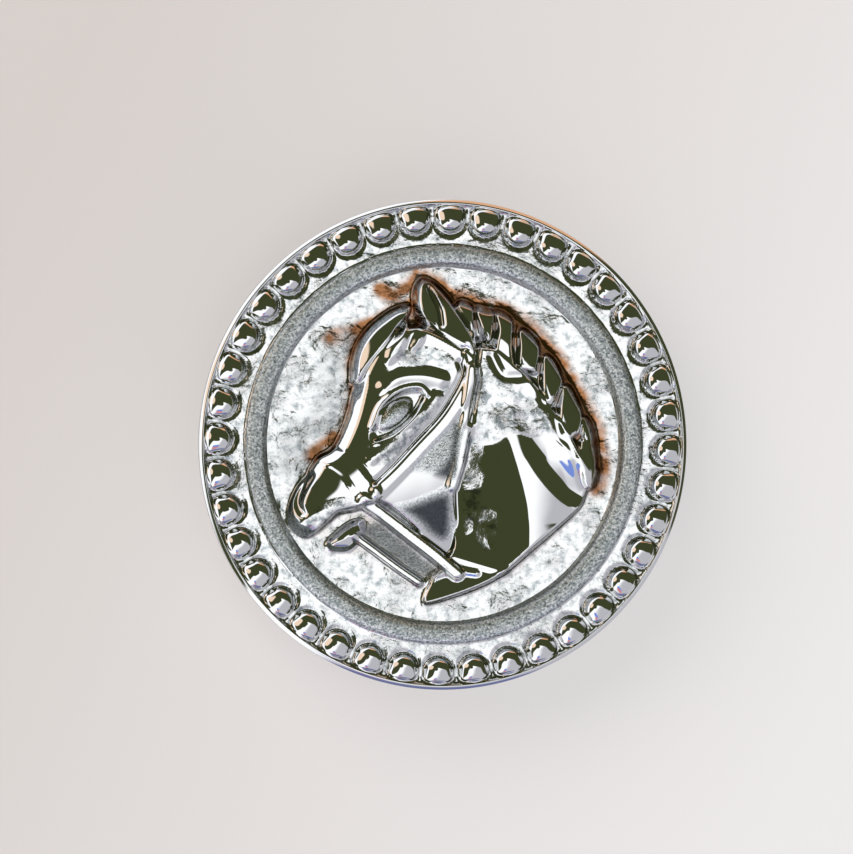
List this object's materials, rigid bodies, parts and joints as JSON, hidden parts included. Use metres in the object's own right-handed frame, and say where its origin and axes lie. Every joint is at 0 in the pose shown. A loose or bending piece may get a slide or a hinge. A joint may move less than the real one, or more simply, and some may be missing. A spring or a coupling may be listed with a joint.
{
  "type": "bridle rosette",
  "caption": "Round plated bridle rosette with a beaded border, a plain ring moulding and a horse's head in relief, and a flat strap loop behind.",
  "frame": {"origin": "on the surface the rosette lies on, under the middle of the disc and of its strap loop", "axes": "+Z out of the carved face, +Y towards the horse's ear, +X along the strap loop's bar, away from the horse's nose"},
  "size_m": [0.0444, 0.0444, 0.0104],
  "materials": {
    "plated_casting": "bright plated casting, worn to a pebbled texture in the recesses, ring moulding satin",
    "plated_strip": "plated flat strip, plainer and less polished than the face"
  },
  "bodies": {
    "root": {"rosette": "plated_casting", "strap_loop": "plated_strip"}
  },
  "joints": []
}
